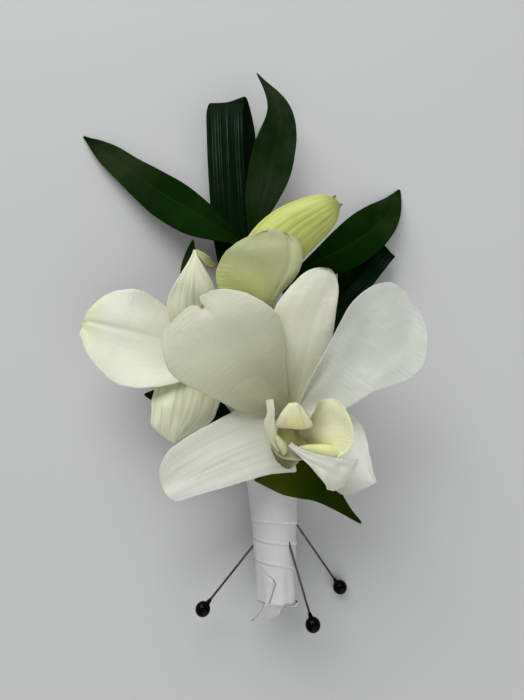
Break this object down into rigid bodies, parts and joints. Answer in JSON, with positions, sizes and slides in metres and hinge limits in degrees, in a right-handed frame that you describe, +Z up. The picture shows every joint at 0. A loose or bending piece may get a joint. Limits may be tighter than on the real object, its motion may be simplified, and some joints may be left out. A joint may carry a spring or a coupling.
{
  "type": "boutonniere",
  "caption": "Boutonniere with open white orchid blooms, a half-open bud, dark glossy leaves and folded strap leaves, stems wrapped in white satin ribbon with round-headed pins.",
  "frame": {"origin": "On the surface that it lies on, below the middle of its outline seen from above.", "axes": "+Y runs from the cut stem end to the leaf tips, +Z up from the surface through the face of the front bloom, and +X to the right as the bloom is seen."},
  "size_m": [0.1051, 0.1626, 0.042],
  "materials": {
    "petal": "satin",
    "petal_outside": "satin",
    "lip": "satin",
    "column": "satin",
    "anther_cap": "satin",
    "pedicel": "satin",
    "bud": "satin",
    "bud_sepal": "satin",
    "leaf": "gloss",
    "strap_leaf": "satin",
    "stem_tape": "matte",
    "satin_ribbon": "satin",
    "pin_steel": "satin",
    "pin_head": "gloss"
  },
  "bodies": {
    "root": {"stem_bundle": "stem_tape", "ribbon_wrap": "satin_ribbon", "pin_left_shaft": "pin_steel", "pin_left_head": "pin_head", "pin_centre_shaft": "pin_steel", "pin_centre_head": "pin_head", "pin_right_shaft": "pin_steel", "pin_right_head": "pin_head", "front_bloom_pedicel": "pedicel", "back_bloom_pedicel": "pedicel", "bud_pedicel": "pedicel", "leaf_left": "leaf", "leaf_top": "leaf", "leaf_right": "leaf", "leaf_bottom": "leaf", "leaf_behind_upper": "leaf", "leaf_behind_lower": "leaf", "strap_loop_upper": "strap_leaf", "strap_loop_right": "strap_leaf", "front_bloom_tepals": "petal", "front_bloom_lip": "lip", "front_bloom_column": "column", "front_bloom_anther_cap": "anther_cap", "back_bloom_tepals": "petal_outside", "back_bloom_lip": "lip", "back_bloom_column": "column", "bud": "bud", "bud_outer_sepal": "bud_sepal"}
  },
  "joints": []
}
